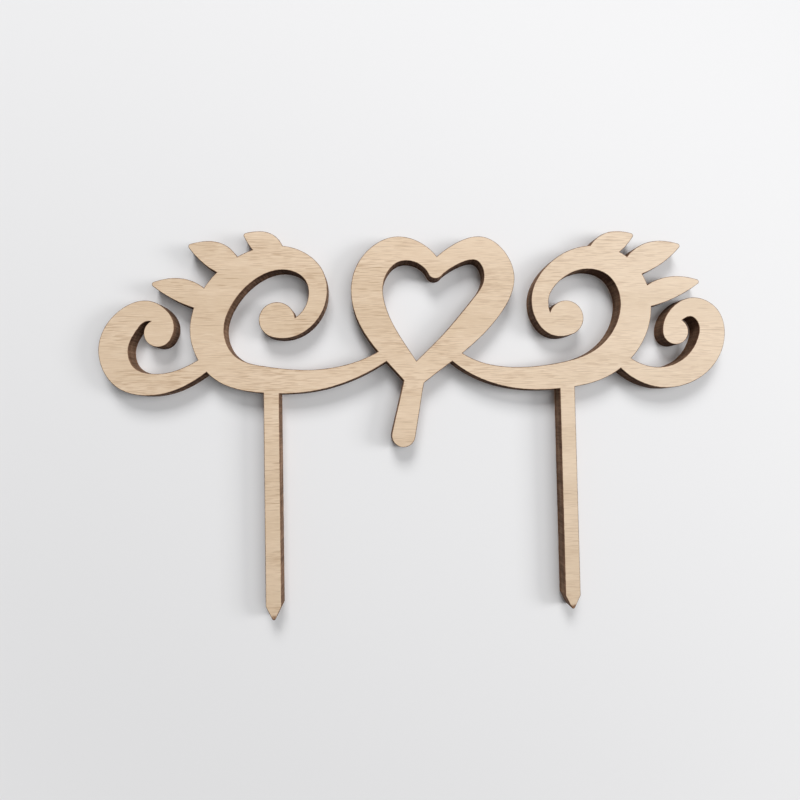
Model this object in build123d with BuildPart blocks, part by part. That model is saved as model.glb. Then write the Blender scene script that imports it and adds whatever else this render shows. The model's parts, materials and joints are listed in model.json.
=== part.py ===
"""Cake topper: a heart between scrolls on two stakes, laser-cut in one outline from three-ply wood.

The sheet stands in the XZ plane with its front towards -Y. The origin is on the cake's surface, half way
between the stakes and half way through the sheet. Lengths are in millimetres.
"""

from build123d import *
import os
from math import copysign, radians, tan

# The sheet: two face veneers glued to a core veneer.
FACE_PLY = 1.2
CORE_PLY = 1.4
GLUE_LINE = 0.1

# The motif: its reach to each side of the middle, its height above the bowls' feet, and the stem below them,
# down to the cake. It is drawn with a broad pen and leans to the right.
REACH = 74.8
MOTIF_HEIGHT = 37.2
STEM_LENGTH = 13.6
PEN_WIDTH = 8.0
SCROLL_BALL = 8.6
END_BALL = 6.6
LEAN_DEGREES = 12.0

# The stakes that are pushed into the cake.
STAKE_SPACING = 70.7
STAKE_WIDTH = 3.8
STAKE_LENGTH = 53.5
TIP_LENGTH = 3.8
TIP_RADIUS = 0.5

# Each stroke of the pen is a row of points: across, up and pen. Across is 0 half way between the stakes,
# 1 at a stake and 2 at the flank of an end scroll. Up is 0 at the bowls' feet and 1 at the top of the motif.
# Pen is the stroke's width there as a share of the pen's. A stroke ends in a half circle, and a leaf's blunt
# tip stands out by a share of one.
HEART_SHARES = [
    (0.00, 0.08, 0.62),
    (0.19, 0.27, 0.80),
    (0.39, 0.52, 0.96),
    (0.44, 0.75, 0.94),
    (0.28, 0.91, 0.78),
    (0.13, 0.88, 0.62),
    (0.00, 0.77, 0.50),
]
SCROLL_SHARES = [
    (0.19, 0.26, 0.38),
    (0.42, 0.13, 0.48),
    (0.70, 0.07, 0.66),
    (1.00, 0.08, 0.80),
    (1.27, 0.16, 0.92),
    (1.43, 0.38, 1.00),
    (1.40, 0.63, 0.96),
    (1.23, 0.81, 0.84),
    (1.01, 0.85, 0.72),
    (0.82, 0.75, 0.62),
    (0.76, 0.57, 0.55),
    (0.85, 0.42, 0.52),
    (1.00, 0.40, 0.52),
]
END_SCROLL_SHARES = [
    (1.36, 0.22, 0.40),
    (1.51, 0.11, 0.52),
    (1.69, 0.06, 0.64),
    (1.89, 0.11, 0.78),
    (2.00, 0.28, 0.86),
    (1.95, 0.46, 0.78),
    (1.83, 0.52, 0.62),
    (1.72, 0.46, 0.50),
    (1.70, 0.36, 0.44),
]
HIGH_LEAF_SHARES = [(1.05, 0.83, 0.36), (1.16, 0.93, 0.78), (1.32, 1.00, 0.14)]
MIDDLE_LEAF_SHARES = [(1.30, 0.74, 0.36), (1.46, 0.86, 0.84), (1.66, 0.93, 0.14)]
LOW_LEAF_SHARES = [(1.42, 0.54, 0.36), (1.62, 0.64, 0.74), (1.84, 0.69, 0.14)]
LEAF_TIP_SHARE = 0.5
FLANK_SHARES = END_SCROLL_SHARES[4]
SEAT_SHARES = SCROLL_SHARES[3]

# The stem below the heart: how wide it is at two places on the way down, and at its round end.
STEM_SHARES = [(0.25, 0.66), (0.55, 0.70)]
STEM_END_SHARE = 0.72

half_spacing = STAKE_SPACING / 2
thickness = 2 * FACE_PLY + 2 * GLUE_LINE + CORE_PLY
foot_height = STEM_LENGTH
flank_height = foot_height + FLANK_SHARES[1] * MOTIF_HEIGHT
flank_half_width = FLANK_SHARES[2] * PEN_WIDTH / 2


def leaned(x, z):
    """A point of the motif after its lean, which leaves the flanks of the end scrolls where they are."""
    return Vector(x + tan(radians(LEAN_DEGREES)) * (z - flank_height), z)


def placed(across, up):
    """A point of the motif: across runs out to the stake, and from there to the reach."""
    to_stake = min(abs(across), 1) * half_spacing
    past_stake = max(abs(across) - 1, 0) * (REACH - flank_half_width - half_spacing)
    return leaned(copysign(to_stake + past_stake, across), foot_height + up * MOTIF_HEIGHT)


def middle_line(points):
    """The smooth line that the middle of the pen follows."""
    with BuildLine() as middle:
        Spline(*points)
    return middle.edge()


def brush_stroke(points, widths, tip_share=1):
    """One stroke of the pen, as wide as it says at each point.

    Its first end is a half circle, and its last end stands out by the tip share of one.
    """
    line = middle_line(points)
    along = [line.tangent_at(point) for point in points]
    aside = [way.rotate(Axis.Z, 90) * width / 2 for way, width in zip(along, widths)]
    left = [point + step for point, step in zip(points, aside)]
    right = [point - step for point, step in zip(points, aside)]
    first_tip = points[0] - along[0] * widths[0] / 2
    last_tip = points[-1] + along[-1] * tip_share * widths[-1] / 2
    with BuildSketch() as stroke:
        with BuildLine():
            Spline(*left)
            ThreePointArc(left[-1], last_tip, right[-1])
            Spline(*reversed(right))
            ThreePointArc(right[0], first_tip, left[0])
        make_face()
    return stroke.sketch


def motif_stroke(shares, side, tip_share=1):
    """A stroke of the motif on the right, or with side -1 its mirror image on the left."""
    points = [placed(side * across, up) for across, up, pen in shares]
    return brush_stroke(points, [pen * PEN_WIDTH for across, up, pen in shares], tip_share)


def scroll_ball(shares, side, diameter):
    """The ball that ends a scroll: it lies inside the curl, flush with the outer edge of the stroke."""
    points = [placed(side * across, up) for across, up, pen in shares]
    inwards = middle_line(points).tangent_at(1).rotate(Axis.Z, side * 90)
    stroke_width = shares[-1][2] * PEN_WIDTH
    with BuildSketch() as ball:
        with Locations(points[-1] + inwards * (diameter - stroke_width) / 2):
            Circle(diameter / 2)
    return ball.sketch


def stem():
    """The stem that runs down from the heart's point and just touches the cake."""
    across, up, root_share = HEART_SHARES[0]
    end_width = STEM_END_SHARE * PEN_WIDTH
    points = [placed(across, up)]
    points += [leaned(0, foot_height - down * STEM_LENGTH) for down, pen in STEM_SHARES]
    points += [leaned(0, end_width / 2)]
    widths = [root_share * PEN_WIDTH]
    widths += [pen * PEN_WIDTH for down, pen in STEM_SHARES]
    widths += [end_width]
    return brush_stroke(points, widths)


def stake(side):
    """A straight stake, from the middle of the bowl's stroke down to its blunt point."""
    x = side * half_spacing
    top = foot_height + SEAT_SHARES[1] * MOTIF_HEIGHT
    bottom = foot_height - STAKE_LENGTH
    half_width = STAKE_WIDTH / 2
    with BuildSketch() as outline:
        with BuildLine():
            Polyline(
                (x - half_width, top),
                (x - half_width, bottom + TIP_LENGTH),
                (x, bottom),
                (x + half_width, bottom + TIP_LENGTH),
                (x + half_width, top),
                close=True,
            )
        make_face()
        fillet(outline.vertices().sort_by(Axis.Y)[0], TIP_RADIUS)
    return outline.sketch


# The outline that the laser cuts, through every layer of the sheet.
with BuildSketch() as cut_outline:
    for side in (1, -1):
        add(motif_stroke(HEART_SHARES, side))
        add(motif_stroke(SCROLL_SHARES, side))
        add(scroll_ball(SCROLL_SHARES, side, SCROLL_BALL))
        add(motif_stroke(END_SCROLL_SHARES, side))
        add(scroll_ball(END_SCROLL_SHARES, side, END_BALL))
        for leaf_shares in (HIGH_LEAF_SHARES, MIDDLE_LEAF_SHARES, LOW_LEAF_SHARES):
            add(motif_stroke(leaf_shares, side, LEAF_TIP_SHARE))
        add(stake(side))
    add(stem())

# The layers of the sheet, from the back to the front.
LAYERS = [
    ("back_veneer", FACE_PLY),
    ("back_glue_line", GLUE_LINE),
    ("core_veneer", CORE_PLY),
    ("front_glue_line", GLUE_LINE),
    ("front_veneer", FACE_PLY),
]

os.makedirs("parts", exist_ok=True)
depth = -thickness / 2
for name, ply in LAYERS:
    with BuildPart() as layer:
        with BuildSketch(Plane.XZ.offset(depth)):
            add(cut_outline.sketch)
        extrude(amount=ply)
    layer.part.label = name
    export_step(layer.part, f"parts/{name}.step")
    depth += ply
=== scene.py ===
"""Cake topper of laser-cut three-ply wood, lying on its back on a white table and seen from above.

Each layer of the sheet is a wall carried along the line that the laser cut, closed by a flat face at both
ends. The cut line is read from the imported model, in whose frame the topper stands upright: +X to the right,
+Y through the sheet to its back, +Z up. Lengths are in metres, and the sizes of marks in the finishes in
millimetres.
"""

import json
import math

import bpy
import numpy as np
from mathutils import Matrix, Vector
from mathutils.geometry import delaunay_2d_cdt


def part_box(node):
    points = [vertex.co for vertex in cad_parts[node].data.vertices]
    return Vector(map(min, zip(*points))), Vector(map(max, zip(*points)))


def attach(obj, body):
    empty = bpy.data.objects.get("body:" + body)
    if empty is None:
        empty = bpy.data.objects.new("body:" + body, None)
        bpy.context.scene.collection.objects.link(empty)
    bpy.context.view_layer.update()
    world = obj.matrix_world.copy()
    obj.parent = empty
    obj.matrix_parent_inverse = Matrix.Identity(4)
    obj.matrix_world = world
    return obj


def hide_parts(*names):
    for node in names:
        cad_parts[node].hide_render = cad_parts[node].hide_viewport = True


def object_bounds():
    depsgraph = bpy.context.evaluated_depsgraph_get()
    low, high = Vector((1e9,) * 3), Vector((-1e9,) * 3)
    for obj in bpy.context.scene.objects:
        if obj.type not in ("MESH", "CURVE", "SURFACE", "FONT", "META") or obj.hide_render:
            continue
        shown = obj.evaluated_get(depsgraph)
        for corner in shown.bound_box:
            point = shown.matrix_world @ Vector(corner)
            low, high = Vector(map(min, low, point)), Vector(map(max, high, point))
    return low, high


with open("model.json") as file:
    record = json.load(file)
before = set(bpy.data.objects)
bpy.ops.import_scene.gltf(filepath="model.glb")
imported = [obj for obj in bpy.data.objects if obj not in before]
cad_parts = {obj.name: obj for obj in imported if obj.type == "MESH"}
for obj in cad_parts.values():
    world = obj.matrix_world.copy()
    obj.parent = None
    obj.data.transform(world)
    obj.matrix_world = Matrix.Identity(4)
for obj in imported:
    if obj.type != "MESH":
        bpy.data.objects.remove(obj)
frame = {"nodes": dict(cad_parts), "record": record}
cad_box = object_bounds()
sheet_front, sheet_back = cad_box[0].y, cad_box[1].y

MM = 0.001

# The cut line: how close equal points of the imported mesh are, the turn that counts as a corner, and the
# longest step along the line.
MERGE_STEP = 0.0001 * MM
CORNER_TURN = math.radians(15)
CUT_STEP = 0.2 * MM

# The laser's marks: the cone of its beam, the fine and coarse ripples that it leaves on the wall, with how
# often each is averaged, and the scorched rim and burnt arris of a face.
KERF_TAPER = 0.05 * MM
RIPPLE_DEPTH = 0.045 * MM
RIPPLE_SEED = 7
FINE_AVERAGING = 1
COARSE_AVERAGING = 12
SCORCH_WIDTH = 0.2 * MM
ARRIS_RADIUS = 0.12 * MM
ARRIS_STEPS = 4
ARRIS_CHAR = 0.5

# The wall: how far the glue is burnt back, the steps through a layer, and the turn that shows as an edge.
GLUE_RECESS = 0.05 * MM
WALL_STEPS = 4
SHARP_TURN = math.radians(40)


def front_rim(node):
    """The edges of a node's front face that only one of its triangles has.

    The node's triangles are loose, so points that lie together are merged first. Each edge runs with the
    wood on its left, seen from the front. Returns the points across and up, and the edges as pairs of their
    numbers."""
    mesh = frame["nodes"][node].data
    places = np.empty(3 * len(mesh.vertices), np.float32)
    mesh.vertices.foreach_get("co", places)
    corners = np.empty(len(mesh.loops), np.int32)
    mesh.loops.foreach_get("vertex_index", corners)
    steps = np.round(places.reshape(-1, 3) / MERGE_STEP).astype(int)
    points, index = np.unique(steps, axis=0, return_inverse=True)
    triangles = index.reshape(-1)[corners].reshape(-1, 3)
    at_front = points[:, 1] == points[:, 1].min()
    face = triangles[at_front[triangles].all(axis=1)]
    edges = np.concatenate([face[:, [0, 1]], face[:, [1, 2]], face[:, [2, 0]]])
    forward = edges @ (len(points), 1)
    backward = edges @ (1, len(points))
    return points[:, [0, 2]] * MERGE_STEP, edges[~np.isin(forward, backward)]


def loops_in_order(edges):
    """The closed loops that edges make, each as its points in order.

    Every point knows the next one. Looking 1, 2, 4, 8 and more steps ahead finds the lowest number in each
    loop, where the loop is then cut, and how many steps each point is from there."""
    points, ends = np.unique(edges, return_inverse=True)
    ends = ends.reshape(edges.shape)
    here = np.arange(len(points))
    after = here.copy()
    after[ends[:, 0]] = ends[:, 1]
    lowest, ahead = here, after
    for doubling in range(len(points).bit_length()):
        lowest, ahead = np.minimum(lowest, lowest[ahead]), ahead[ahead]
    is_last = lowest == here
    to_go, ahead = np.where(is_last, 0, 1), np.where(is_last, here, after)
    for doubling in range(len(points).bit_length()):
        to_go, ahead = to_go + to_go[ahead], ahead[ahead]
    order = np.lexsort((-to_go, lowest))
    return np.split(points[order], np.nonzero(np.diff(lowest[order]))[0] + 1)


def unit(vectors):
    """Vectors of length 1 in the same directions."""
    return vectors / np.linalg.norm(vectors, axis=-1, keepdims=True)


def mirrored(direction, way):
    """Directions mirrored in ways of length 1: twice their part along the way, less themselves."""
    return 2 * way * (way * direction).sum(axis=1, keepdims=True) - direction


def fair_loop(points):
    """A closed loop as a smooth curve in short steps, with its corners kept.

    Each chord becomes a cubic whose slope at a point is that of the line between the point's neighbours. At
    a corner it is the slope at the chord's other end mirrored in the chord, which makes the cubic an arc."""
    chord = np.roll(points, -1, axis=0) - points
    length = np.linalg.norm(chord, axis=1, keepdims=True)
    way = chord / length
    behind = np.roll(way, 1, axis=0)
    is_corner = (way * behind).sum(axis=1, keepdims=True) < math.cos(CORNER_TURN)
    slope = unit(chord + np.roll(chord, 1, axis=0))
    next_slope = np.roll(slope, -1, axis=0)
    next_is_corner = np.roll(is_corner, -1, axis=0)
    leaving = np.where(is_corner, np.where(next_is_corner, way, mirrored(next_slope, way)), slope)
    arriving = np.where(next_is_corner, np.where(is_corner, way, mirrored(slope, way)), next_slope)
    counts = np.ceil(length[:, 0] / CUT_STEP).astype(int)
    at = np.repeat(np.arange(len(points)), counts)
    firsts = np.repeat(np.cumsum(counts) - counts, counts)
    t = ((np.arange(len(at)) - firsts) / counts[at])[:, None]
    return (
        points[at]
        + chord[at] * t**2 * (3 - 2 * t)
        + leaving[at] * length[at] * t * (1 - t) ** 2
        - arriving[at] * length[at] * t**2 * (1 - t)
    )


def spread(values):
    """Values stretched to run from 0 to 1."""
    return (values - values.min()) / np.ptp(values)


class CutLine:
    """The line the laser cut round the sheet and round its hole.

    place is each point across and up, loops are the numbers of each loop's points, after and before are
    those of a point's neighbours, and inwards is the way into the wood, so long that a step along it leaves
    the same distance to both neighbouring edges. ripple is how far the beam dug into the wall there, from 0
    to 1: the mean of random steps averaged a little and of others averaged a lot."""

    def __init__(self, node):
        points, edges = front_rim(node)
        fair = [fair_loop(points[loop]) for loop in loops_in_order(edges)]
        self.place = np.concatenate(fair)
        self.loops = np.split(np.arange(len(self.place)), np.cumsum([len(loop) for loop in fair])[:-1])
        self.after = np.concatenate([np.roll(loop, -1) for loop in self.loops])
        self.before = np.argsort(self.after)
        way = unit(self.place[self.after] - self.place)
        leftwards = np.stack([-way[:, 1], way[:, 0]], axis=1)
        behind = leftwards[self.before]
        both = leftwards + behind
        self.inwards = both / (1 + (leftwards * behind).sum(axis=1, keepdims=True))
        random = np.random.default_rng(RIPPLE_SEED)
        fine = self.averaged(random.random(len(self.place)), FINE_AVERAGING)
        coarse = self.averaged(random.random(len(self.place)), COARSE_AVERAGING)
        self.ripple = (spread(fine) + spread(coarse)) / 2

    def averaged(self, values, times):
        """Values along the line, each averaged with its neighbours so many times."""
        for time in range(times):
            values = (values[self.before] + 2 * values + values[self.after]) / 4
        return values


cut = CutLine("front_veneer")


def flat_triangles(ring):
    """The triangles that fill the sheet at a ring's points.

    The loop round the hole runs the other way, so the hole stays open."""
    loops = [loop.tolist() for loop in cut.loops]
    holes_left_open = 2
    filled = delaunay_2d_cdt(ring.tolist(), [], loops, holes_left_open, MERGE_STEP)
    triangles, sources = filled[2:4]
    return np.array(sources).reshape(-1)[np.array(triangles)]


def new_mesh(name, points, quads, triangles):
    """A mesh with faces of four and of three corners."""
    corners = np.concatenate([quads.ravel(), triangles.ravel()])
    sides = np.repeat([4, 3], [len(quads), len(triangles)])
    mesh = bpy.data.meshes.new(name)
    mesh.vertices.add(len(points))
    mesh.vertices.foreach_set("co", points.astype(np.float32).ravel())
    mesh.loops.add(len(corners))
    mesh.loops.foreach_set("vertex_index", corners.astype(np.int32))
    mesh.polygons.add(len(sides))
    mesh.polygons.foreach_set("loop_start", (np.cumsum(sides) - sides).astype(np.int32))
    mesh.update(calc_edges=True)
    return mesh


def in_scene(name, data):
    """An object in the scene that holds a mesh, a lamp or a camera."""
    holder = bpy.data.objects.new(name, data)
    bpy.context.collection.objects.link(holder)
    return holder


def cut_layer(name, profile):
    """A layer of the sheet: its profile carried along the cut line, and a flat face at each end of it.

    The profile is a row of insets, depths and chars from the front of the layer to its back. A point of the
    wall is the cut line's point moved inwards by the inset, by the beam's cone, which is widest at the
    sheet's front, and by the beam's ripple times the char. The char is kept on the points for the finish: 0
    is bare wood, 1 is burnt."""
    inset, depth, char = (np.array(column)[:, None] for column in zip(*profile))
    cone = KERF_TAPER * (sheet_back - depth) / (sheet_back - sheet_front)
    into_wood = inset + cone + RIPPLE_DEPTH * cut.ripple * char
    across_and_up = cut.place + cut.inwards * into_wood[:, :, None]
    points = np.insert(across_and_up, 1, np.broadcast_to(depth, into_wood.shape), axis=2)

    rows, steps = into_wood.shape
    number = np.arange(rows * steps).reshape(rows, steps)
    onward = number[:, cut.after]
    wall = np.stack([number[:-1], number[1:], onward[1:], onward[:-1]], axis=-1).reshape(-1, 4)
    front = flat_triangles(across_and_up[0])
    back = flat_triangles(across_and_up[-1])[:, ::-1] + number[-1, 0]
    mesh = new_mesh(name, points.reshape(-1, 3), wall, np.concatenate([front, back]))
    burnt = mesh.attributes.new("char", "FLOAT", "POINT")
    burnt.data.foreach_set("value", np.repeat(char.astype(np.float32), steps))
    mesh.shade_smooth()
    mesh.set_sharp_from_angle(angle=SHARP_TURN)
    return in_scene(name, mesh)


def wall_profile(front, back, recess=0.0):
    """A plain charred wall between two depths, set back by a recess."""
    return [(recess, depth, 1.0) for depth in np.linspace(front, back, WALL_STEPS + 1)]


def face_profile(face, joint):
    """A face veneer's profile from its face to its glue joint.

    It is a flat scorched rim, a quarter round and a wall. The quarter round is the arris, where the beam's
    heat has rounded and burnt the edge."""
    inwards = math.copysign(1, joint - face)
    turns = np.linspace(0, math.pi / 2, ARRIS_STEPS)
    insets = ARRIS_RADIUS * (1 - np.sin(turns))
    depths = face + inwards * ARRIS_RADIUS * (1 - np.cos(turns))
    chars = np.linspace(ARRIS_CHAR, 1, ARRIS_STEPS)
    rim = (SCORCH_WIDTH, face, 0.0)
    return [rim, *zip(insets, depths, chars), *wall_profile(depths[-1], joint)[1:]]


def rgb(red, green, blue):
    """A colour given as screen values from 0 to 255, as light: the screen's curve undone."""
    light = (np.array([red, green, blue]) / 255 + 0.055) / 1.055
    return (*(light**2.4).tolist(), 1.0)


# In the finishes a size is how long a mark is across, through and up the sheet, in millimetres. A ramp is
# the noise, or the place in millimetres, where a mark begins and where it is full, and then what it gives at
# both, if that isn't 0 and 1. A strength is how far a full mark's colour covers what is under it.

# The veneer's grain, with painted light towards the right and painted shade down the stakes.
WANDER_SIZE = (45.0, 9.0, 22.0)
WANDER_HEIGHT = 0.3
BAND_SIZE = (80.0, 3.0, 6.0)
BAND_RAMP = (0.3, 0.7)
PALE_BAND = rgb(235, 211, 184)
DARK_BAND = rgb(221, 196, 167)
FIBRE_SIZE = (4.0, 0.4, 0.12)
PALE_FIBRE_RAMP = (0.48, 0.75, 0.0, 0.66)
PALE_FIBRE = rgb(250, 234, 212)
DARK_FIBRE_RAMP = (0.52, 0.25, 0.0, 0.6)
DARK_FIBRE = rgb(204, 176, 146)
FLECK_SIZE = (2.6, 0.8, 0.12)
FLECK_RAMP = (0.5, 0.68)
FLECK_STRENGTH = 0.54
FLECK = rgb(180, 148, 116)
FLECK_GROUP_SIZE = (18.0, 6.0, 7.0)
FLECK_GROUP_RAMP = (0.38, 0.62, 0.15, 1.0)
VEIN_SIZE = (6.0, 1.2, 0.16)
VEIN_RAMP = (0.71, 0.8)
VEIN_STRENGTH = 0.56
VEIN = rgb(168, 136, 104)
# Painted light: the veneer paler towards the right.
PAINTED_LIGHT_TO_RIGHT_RAMP = (-5.0, 60.0, 0.0, 0.24)
PAINTED_LIGHT_TO_RIGHT = rgb(248, 234, 216)
# Painted shade: the veneer darker down the stakes.
PAINTED_SHADE_DOWN_STAKES_RAMP = (22.0, -30.0, 0.0, 0.24)
PAINTED_SHADE_DOWN_STAKES = rgb(196, 172, 142)

# The veneer's surface: its fibres stand up, its flecks and veins are pores, and char makes it duller.
FIBRE_HEIGHT = 0.6
GRAIN_BUMP = 0.25
GRAIN_DEPTH = 0.03 * MM
FIBRE_ROUGHNESS_RAMP = (0.2, 0.8, 0.56, 0.7)
CHAR_ROUGHNESS = 0.25
WOOD_SPECULAR = 0.2

# The scorch on the veneer: its ragged edge, its brown, and the char on a stake's point, with the heights
# above the point, in millimetres, where it starts and where it is full.
RAGGED_SIZE = (0.6, 0.6, 0.6)
RAGGED_RAMP = (0.3, 0.7, 0.65, 1.35)
SCORCH_RAMP = (0.0, 0.6)
SCORCH = rgb(150, 114, 86)
BURNT_RAMP = (0.3, 0.64)
POINT_START = 1.5
POINT_FULL = 0.6
POINT_CHAR = 0.55

# The char on the wall: its streaks and patches, how much darker it is where it faces up, the painted shade
# where it faces down, and its dark and light browns on the face veneers and on the core.
STREAK_SIZE = (0.45, 9.0, 0.45)
PATCH_SIZE = (7.0, 3.0, 7.0)
CHAR_RAMP = (0.3, 0.7, 0.1, 0.45)
DARKENING_FACING_UP = 0.2
# Painted shade where the wall faces down.
PAINTED_SHADE_FACING_DOWN = 0.55
VENEER_CHAR = (rgb(50, 24, 6), rgb(154, 120, 95))
CORE_CHAR = (rgb(56, 29, 9), rgb(164, 131, 105))

# The core's pores and the glue's beads.
PORE_SIZE = (0.25, 0.35, 0.25)
PORE_RAMP = (0.55, 0.72)
PORE_STRENGTH = 0.5
PORE = rgb(52, 26, 9)
PORE_BUMP = 0.4
PORE_DEPTH = 0.04 * MM
PORE_ROUGHNESS_RAMP = (0.0, 1.0, 0.75, 0.95)
BEAD_SIZE = (0.5, 0.3, 0.5)
BEAD_RAMP = (0.4, 0.7)
BURNT_GLUE = rgb(38, 18, 6)
GLUE_BEAD = rgb(68, 41, 22)
BEAD_BUMP = 0.3
BEAD_DEPTH = 0.03 * MM
BEAD_ROUGHNESS_RAMP = (0.35, 0.7, 0.7, 0.42)


def plug(tree, kind, inputs, **settings):
    """A shader node with its settings, and with each input linked to an output or set to a value."""
    node = tree.nodes.new(kind)
    for setting, value in settings.items():
        setattr(node, setting, value)
    for socket, value in inputs.items():
        if isinstance(value, bpy.types.NodeSocket):
            tree.links.new(value, node.inputs[socket])
        else:
            node.inputs[socket].default_value = value
    return node


def reckoned(tree, kind, *values):
    """The result of a sum, product or other reckoning with values."""
    return plug(tree, "ShaderNodeMath", dict(enumerate(values)), operation=kind).outputs[0]


def eased(tree, value, low, high, to_low=0.0, to_high=1.0):
    """A value eased from one end to the other as it goes from low to high."""
    inputs = {"Value": value, "From Min": low, "From Max": high, "To Min": to_low, "To Max": to_high}
    return plug(tree, "ShaderNodeMapRange", inputs, interpolation_type="SMOOTHSTEP").outputs[0]


def blended(tree, share, first, second):
    """Two colours blended by a share: 0 is the first, 1 is the second.

    The node's colours are its inputs 6 and 7 and its output 2."""
    return plug(tree, "ShaderNodeMix", {0: share, 6: first, 7: second}, data_type="RGBA").outputs[2]


def in_mm(tree):
    """Object coordinates in millimetres."""
    place = tree.nodes.new("ShaderNodeTexCoord").outputs["Object"]
    return plug(tree, "ShaderNodeVectorMath", {0: place, "Scale": 1 / MM}, operation="SCALE").outputs[0]


def mottle(tree, place, size, detail=2.0, roughness=0.5):
    """Soft noise from 0 to 1 whose marks have this size: noise at the place divided by the size."""
    cell = plug(tree, "ShaderNodeVectorMath", {0: place, 1: size}, operation="DIVIDE").outputs[0]
    inputs = {"Vector": cell, "Scale": 1.0, "Detail": detail, "Roughness": roughness}
    return plug(tree, "ShaderNodeTexNoise", inputs).outputs["Fac"]


def new_finish(name):
    """A material with a bare shader, and its node tree and shader."""
    material = bpy.data.materials.new(name)
    material.use_nodes = True
    tree = material.node_tree
    return material, tree, tree.nodes["Principled BSDF"]


def add_relief(tree, shader, height, bump, depth, sunk=False):
    """Fine relief on a shader: a height from 0 to 1 that stands up by a depth, or is sunk by it."""
    inputs = {"Height": height, "Strength": bump, "Distance": depth}
    relief = plug(tree, "ShaderNodeBump", inputs, invert=sunk)
    tree.links.new(relief.outputs[0], shader.inputs["Normal"])


def charred(tree, place, dark, light):
    """The colour of a laser-cut wall: brown char with streaks along the beam, under wider patches.

    It is darker where the wall faces up, and darkest where it faces down, which is painted shade."""
    streaks = eased(tree, mottle(tree, place, STREAK_SIZE, detail=3.0, roughness=0.6), *CHAR_RAMP)
    patches = eased(tree, mottle(tree, place, PATCH_SIZE), *CHAR_RAMP)
    normal = tree.nodes.new("ShaderNodeNewGeometry").outputs["Normal"]
    upward = plug(tree, "ShaderNodeSeparateXYZ", {0: normal}).outputs["Z"]
    darkening_above = reckoned(tree, "MULTIPLY", upward, DARKENING_FACING_UP)
    # Painted shade: darkest where the wall faces down.
    painted_shade_below = reckoned(tree, "MULTIPLY", upward, -PAINTED_SHADE_FACING_DOWN)
    darkening_and_painted_shade = reckoned(tree, "MAXIMUM", darkening_above, painted_shade_below)
    tone = reckoned(tree, "ADD", streaks, patches)
    return blended(tree, reckoned(tree, "SUBTRACT", tone, darkening_and_painted_shade), dark, light)


def veneer_finish():
    """Bare sanded veneer, whose grain runs along the sheet and wanders a little up and down.

    Soft bands carry pale and dark fibres, short flecks in groups and a few long veins. Painted light makes
    the wood paler towards the right, and painted shade makes it darker down the stakes. Char covers it with a
    ragged edge at the cut, and lightly at the points of the stakes."""
    material, tree, shader = new_finish("face_veneer")
    place = in_mm(tree)
    sides = plug(tree, "ShaderNodeSeparateXYZ", {0: place}).outputs
    across, up = sides["X"], sides["Z"]
    sway = reckoned(tree, "SUBTRACT", mottle(tree, place, WANDER_SIZE, detail=1.0), 0.5)
    wander = reckoned(tree, "MULTIPLY", sway, WANDER_HEIGHT)
    shift = plug(tree, "ShaderNodeCombineXYZ", {"Z": wander}).outputs[0]
    along_grain = plug(tree, "ShaderNodeVectorMath", {0: place, 1: shift}, operation="ADD").outputs[0]

    bands = mottle(tree, along_grain, BAND_SIZE, detail=3.0)
    fibres = mottle(tree, along_grain, FIBRE_SIZE, detail=4.0, roughness=0.7)
    groups = eased(tree, mottle(tree, along_grain, FLECK_GROUP_SIZE), *FLECK_GROUP_RAMP)
    flecks = eased(tree, mottle(tree, along_grain, FLECK_SIZE, detail=0.0), *FLECK_RAMP)
    flecks = reckoned(tree, "MULTIPLY", flecks, groups)
    veins = eased(tree, mottle(tree, along_grain, VEIN_SIZE, detail=0.0), *VEIN_RAMP)

    colour = blended(tree, eased(tree, bands, *BAND_RAMP), PALE_BAND, DARK_BAND)
    colour = blended(tree, eased(tree, fibres, *PALE_FIBRE_RAMP), colour, PALE_FIBRE)
    colour = blended(tree, eased(tree, fibres, *DARK_FIBRE_RAMP), colour, DARK_FIBRE)
    colour = blended(tree, reckoned(tree, "MULTIPLY", flecks, FLECK_STRENGTH), colour, FLECK)
    colour = blended(tree, reckoned(tree, "MULTIPLY", veins, VEIN_STRENGTH), colour, VEIN)
    # Painted light: the wood paler towards the right.
    colour = blended(tree, eased(tree, across, *PAINTED_LIGHT_TO_RIGHT_RAMP), colour, PAINTED_LIGHT_TO_RIGHT)
    # Painted shade: the wood darker down the stakes.
    colour = blended(tree, eased(tree, up, *PAINTED_SHADE_DOWN_STAKES_RAMP), colour, PAINTED_SHADE_DOWN_STAKES)

    lowest = cad_box[0].z / MM
    burnt_point = eased(tree, up, lowest + POINT_START, lowest + POINT_FULL, 0.0, POINT_CHAR)
    edge = plug(tree, "ShaderNodeAttribute", {}, attribute_name="char").outputs["Fac"]
    char = reckoned(tree, "MAXIMUM", edge, burnt_point)
    uneven = eased(tree, mottle(tree, place, RAGGED_SIZE), *RAGGED_RAMP)
    ragged = reckoned(tree, "MULTIPLY", char, uneven)
    wall = charred(tree, place, *VENEER_CHAR)
    colour = blended(tree, eased(tree, ragged, *SCORCH_RAMP), colour, SCORCH)
    colour = blended(tree, eased(tree, ragged, *BURNT_RAMP), colour, wall)
    tree.links.new(colour, shader.inputs["Base Color"])

    raised = reckoned(tree, "MULTIPLY", fibres, FIBRE_HEIGHT)
    pores = reckoned(tree, "MAXIMUM", flecks, veins)
    add_relief(tree, shader, reckoned(tree, "SUBTRACT", raised, pores), GRAIN_BUMP, GRAIN_DEPTH)
    bare = eased(tree, fibres, *FIBRE_ROUGHNESS_RAMP)
    dulled = reckoned(tree, "MULTIPLY", char, CHAR_ROUGHNESS)
    tree.links.new(reckoned(tree, "ADD", bare, dulled), shader.inputs["Roughness"])
    shader.inputs["Specular IOR Level"].default_value = WOOD_SPECULAR
    return material


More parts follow.
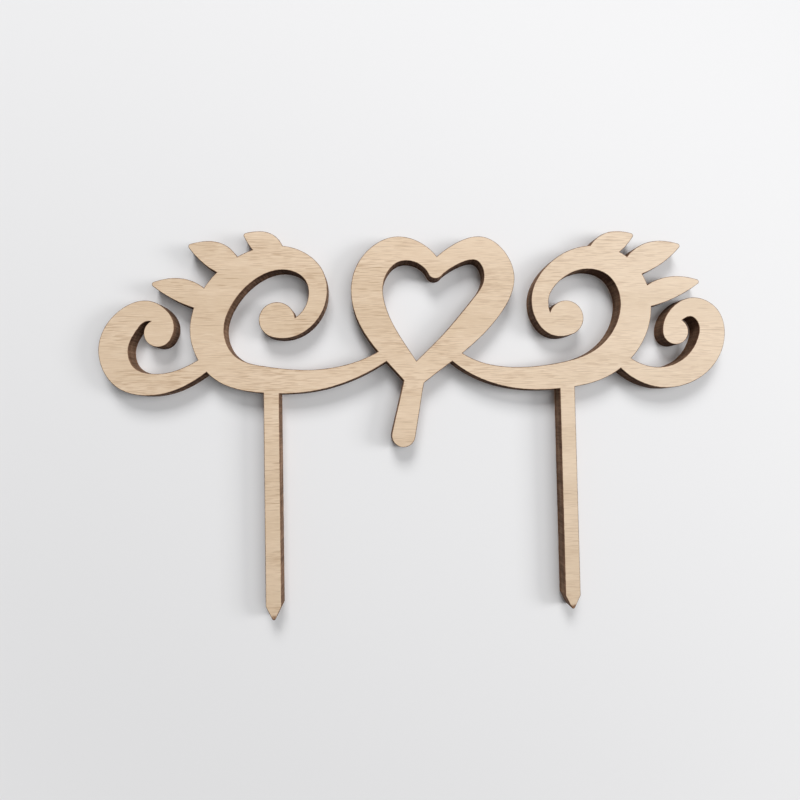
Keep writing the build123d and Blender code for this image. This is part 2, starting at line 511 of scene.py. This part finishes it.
def core_finish():
    """The core veneer, of which only the charred wall shows, with open pores in it."""
    material, tree, shader = new_finish("core_veneer")
    place = in_mm(tree)
    wall = charred(tree, place, *CORE_CHAR)
    pores = eased(tree, mottle(tree, place, PORE_SIZE, detail=1.0), *PORE_RAMP)
    colour = blended(tree, reckoned(tree, "MULTIPLY", pores, PORE_STRENGTH), wall, PORE)
    tree.links.new(colour, shader.inputs["Base Color"])
    add_relief(tree, shader, pores, PORE_BUMP, PORE_DEPTH, sunk=True)
    tree.links.new(eased(tree, pores, *PORE_ROUGHNESS_RAMP), shader.inputs["Roughness"])
    shader.inputs["Specular IOR Level"].default_value = WOOD_SPECULAR
    return material


def glue_finish():
    """Resin glue, burnt dark on the cut, with beads that shine a little."""
    material, tree, shader = new_finish("glue_line")
    beads = mottle(tree, in_mm(tree), BEAD_SIZE)
    colour = blended(tree, eased(tree, beads, *BEAD_RAMP), BURNT_GLUE, GLUE_BEAD)
    tree.links.new(colour, shader.inputs["Base Color"])
    add_relief(tree, shader, beads, BEAD_BUMP, BEAD_DEPTH)
    tree.links.new(eased(tree, beads, *BEAD_ROUGHNESS_RAMP), shader.inputs["Roughness"])
    return material


def add_layers():
    """The five layers of the sheet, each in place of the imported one."""
    depths = {node: (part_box(node)[0].y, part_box(node)[1].y) for node in frame["nodes"]}
    front_face, front_joint = depths["front_veneer"]
    back_joint, back_face = depths["back_veneer"]
    profiles = {
        "front_veneer": face_profile(front_face, front_joint),
        "front_glue_line": wall_profile(*depths["front_glue_line"], GLUE_RECESS),
        "core_veneer": wall_profile(*depths["core_veneer"]),
        "back_glue_line": wall_profile(*depths["back_glue_line"], GLUE_RECESS),
        "back_veneer": face_profile(back_face, back_joint)[::-1],
    }
    finishes = {"face_veneer": veneer_finish(), "core_veneer": core_finish(), "glue_line": glue_finish()}
    slots = {part["node"]: part["material_slot"] for part in frame["record"]["subparts"]}
    for node, profile in profiles.items():
        piece = cut_layer(f"{node}_cut", profile)
        piece.data.materials.append(finishes[slots[node]])
        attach(piece, "root")
        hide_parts(node)


# The table that the topper lies on, just behind its back face. A ray that starts within touch of it goes
# through it, so that the back face is lit. Far from the topper the table fades into the background.
TABLE_SIZE = 1.0
TABLE_GAP = 0.03 * MM
TABLE_TOUCH = 4 * TABLE_GAP
TABLE_COLOUR = rgb(241, 241, 242)
TABLE_ROUGHNESS = 0.9
TABLE_SPECULAR = 0.1
FADE_START = 70 * MM
FADE_END = 260 * MM

# The light: a little even light from all round, windows above the sheet and to its right, a ceiling lamp
# far in front of it and to the right, and a fill behind it for its back. Each lamp has a level, a place and
# a size. A level is the share of a white surface's brightness that the light gives at the middle of the
# sheet.
EVEN_LEVEL = 0.145
LAMPS = {
    "top_window": (0.37, Vector((-0.06, -0.54, 0.67)), 0.34),
    "right_window": (0.18, Vector((0.66, -0.36, 0.0)), 0.25),
    "ceiling_lamp": (0.31, Vector((0.68, -1.42, 0.04)), 1.16),
    "back_fill": (0.75, Vector((-0.30, 0.60, 0.30)), 0.40),
}
WHITE = (1.0, 1.0, 1.0, 1.0)
BACKGROUND_COLOUR = rgb(239, 239, 240)

# The camera: in front of the point of the face where no wall shows, and turned to a point that lies to the
# right of it and higher. Both points are given across and up. The view's width is that at the front face.
CAMERA_HEIGHT = 122.4 * MM
CAMERA_FOOT = (-11.7 * MM, 7.8 * MM)
CAMERA_AIM = (-5.2 * MM, 11.3 * MM)
CAMERA_ROLL = math.radians(1.05)
CAMERA_NEAREST = 10 * MM
VIEW_WIDTH = 189.4 * MM


def table_finish():
    """A plain white table that shows only from the front.

    It lets through what comes from behind, and the light that goes to the back face lying on it."""
    material, tree, shader = new_finish("table")
    shader.inputs["Base Color"].default_value = TABLE_COLOUR
    shader.inputs["Roughness"].default_value = TABLE_ROUGHNESS
    shader.inputs["Specular IOR Level"].default_value = TABLE_SPECULAR
    behind = tree.nodes.new("ShaderNodeNewGeometry").outputs["Backfacing"]
    path = tree.nodes.new("ShaderNodeLightPath").outputs
    touching = reckoned(tree, "LESS_THAN", path["Ray Length"], TABLE_TOUCH)
    place = tree.nodes.new("ShaderNodeTexCoord").outputs["Object"]
    away = plug(tree, "ShaderNodeVectorMath", {0: place}, operation="LENGTH").outputs["Value"]
    faded = eased(tree, away, FADE_START, FADE_END)
    clear = reckoned(tree, "MAXIMUM", reckoned(tree, "MAXIMUM", behind, touching), faded)
    see_through = tree.nodes.new("ShaderNodeBsdfTransparent").outputs[0]
    surface = plug(tree, "ShaderNodeMixShader", {0: clear, 1: shader.outputs[0], 2: see_through})
    tree.links.new(surface.outputs[0], tree.nodes["Material Output"].inputs["Surface"])
    return material


def add_table():
    """The table's top as a square that faces the front."""
    half = TABLE_SIZE / 2
    depth = sheet_back + TABLE_GAP
    corners = [(-half, depth, -half), (half, depth, -half), (half, depth, half), (-half, depth, half)]
    mesh = bpy.data.meshes.new("table")
    mesh.from_pydata(corners, [], [(0, 1, 2, 3)])
    mesh.materials.append(table_finish())
    table = in_scene("table", mesh)


def add_lamp(name, level, place, size):
    """A square lamp that looks at the middle of the sheet.

    A lamp of power P at a distance d gives a face turned by the angle a the level P cos(a) / (pi d)^2."""
    lamp = bpy.data.lights.new(name, "AREA")
    lamp.size = size
    away = place - (cad_box[0] + cad_box[1]) / 2
    slant = abs(away.normalized().y)
    lamp.energy = level * (math.pi * away.length) ** 2 / slant
    holder = in_scene(name, lamp)
    holder.location = place
    holder.rotation_mode = "QUATERNION"
    holder.rotation_quaternion = away.to_track_quat("Z", "Y")


def add_light():
    """The lamps, and a world that gives even light and that the camera sees as a pale background."""
    for name, lamp in LAMPS.items():
        add_lamp(name, *lamp)
    world = bpy.data.worlds.new("studio")
    world.use_nodes = True
    bpy.context.scene.world = world
    tree = world.node_tree
    path = tree.nodes.new("ShaderNodeLightPath").outputs
    seen = reckoned(tree, "ADD", path["Is Camera Ray"], path["Is Glossy Ray"])
    seen = reckoned(tree, "MINIMUM", reckoned(tree, "ADD", seen, path["Is Transmission Ray"]), 1.0)
    even = plug(tree, "ShaderNodeBackground", {"Color": WHITE, "Strength": EVEN_LEVEL}).outputs[0]
    shown = plug(tree, "ShaderNodeBackground", {"Color": BACKGROUND_COLOUR, "Strength": 1.0}).outputs[0]
    mixed = plug(tree, "ShaderNodeMixShader", {0: seen, 1: even, 2: shown})
    tree.links.new(mixed.outputs[0], tree.nodes["World Output"].inputs["Surface"])


def add_camera():
    """A camera in front of the sheet, rolled so that the topper seems turned to the left."""
    camera = bpy.data.cameras.new("camera")
    camera.lens = camera.sensor_width * CAMERA_HEIGHT / VIEW_WIDTH
    camera.clip_start = CAMERA_NEAREST
    foot = Vector((CAMERA_FOOT[0], sheet_front, CAMERA_FOOT[1]))
    aim = Vector((CAMERA_AIM[0], sheet_front, CAMERA_AIM[1]))
    place = foot - Vector((0, CAMERA_HEIGHT, 0))
    forward = (aim - place).normalized()
    right = forward.cross(Vector((math.sin(CAMERA_ROLL), 0, math.cos(CAMERA_ROLL)))).normalized()
    up = right.cross(forward)
    turned = Matrix((right, up, -forward)).transposed().to_4x4()
    holder = in_scene("camera", camera)
    holder.matrix_world = Matrix.Translation(place) @ turned
    bpy.context.scene.camera = holder


add_layers()
add_table()
add_light()
add_camera()
bpy.context.scene.view_settings.view_transform = "Standard"
